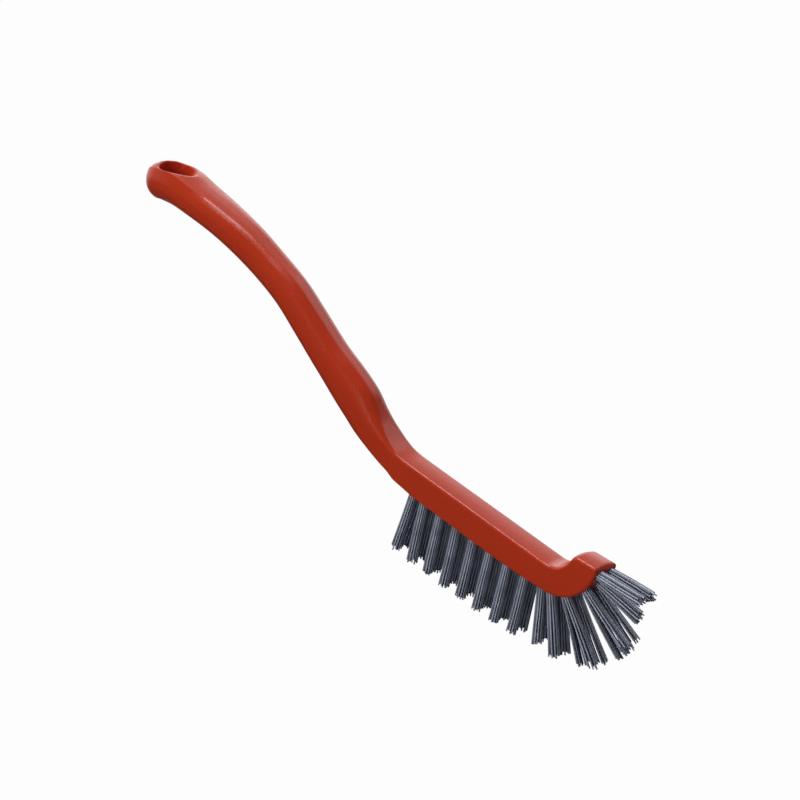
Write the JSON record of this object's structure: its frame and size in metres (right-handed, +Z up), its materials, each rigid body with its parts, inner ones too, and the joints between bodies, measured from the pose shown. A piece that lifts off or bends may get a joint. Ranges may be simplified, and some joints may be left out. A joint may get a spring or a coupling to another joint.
{
  "type": "joint brush",
  "caption": "Long curved one-piece plastic handle with a hanging hole, a narrow straight head and an upturned nose, with stiff bristle tufts in two rows that fan out round the nose.",
  "frame": {"origin": "middle of the brush's overall box, at the level of the square bristle tips it can be stood on", "axes": "+X along the head towards the nose, +Z up out of the head's flat top, away from the bristles, +Y to the left when looking along +X"},
  "size_m": [0.2794, 0.0174, 0.0818],
  "materials": {
    "red_plastic": "smooth injection-moulded polypropylene, coloured brick red in the mass, satin gloss",
    "bristle": "stiff crimp-free polyester filament, slate grey, cut square at the tips",
    "anchor_wire": "flat drawn wire, cut to length, uncoated"
  },
  "bodies": {
    "root": {"handle_body": "red_plastic", "tuft_left_01": "bristle", "tuft_left_02": "bristle", "tuft_left_03": "bristle", "tuft_left_04": "bristle", "tuft_left_05": "bristle", "tuft_left_06": "bristle", "tuft_left_07": "bristle", "tuft_left_08": "bristle", "tuft_left_09": "bristle", "tuft_left_10": "bristle", "tuft_left_11": "bristle", "tuft_left_12": "bristle", "tuft_left_14": "bristle", "tuft_middle_13": "bristle", "tuft_right_01": "bristle", "tuft_right_02": "bristle", "tuft_right_03": "bristle", "tuft_right_04": "bristle", "tuft_right_05": "bristle", "tuft_right_06": "bristle", "tuft_right_07": "bristle", "tuft_right_08": "bristle", "tuft_right_09": "bristle", "tuft_right_10": "bristle", "tuft_right_11": "bristle", "tuft_right_12": "bristle", "tuft_right_14": "bristle", "anchor_left_01": "anchor_wire", "anchor_left_02": "anchor_wire", "anchor_left_03": "anchor_wire", "anchor_left_04": "anchor_wire", "anchor_left_05": "anchor_wire", "anchor_left_06": "anchor_wire", "anchor_left_07": "anchor_wire", "anchor_left_08": "anchor_wire", "anchor_left_09": "anchor_wire", "anchor_left_10": "anchor_wire", "anchor_left_11": "anchor_wire", "anchor_left_12": "anchor_wire", "anchor_left_14": "anchor_wire", "anchor_middle_13": "anchor_wire", "anchor_right_01": "anchor_wire", "anchor_right_02": "anchor_wire", "anchor_right_03": "anchor_wire", "anchor_right_04": "anchor_wire", "anchor_right_05": "anchor_wire", "anchor_right_06": "anchor_wire", "anchor_right_07": "anchor_wire", "anchor_right_08": "anchor_wire", "anchor_right_09": "anchor_wire", "anchor_right_10": "anchor_wire", "anchor_right_11": "anchor_wire", "anchor_right_12": "anchor_wire", "anchor_right_14": "anchor_wire"}
  },
  "joints": []
}
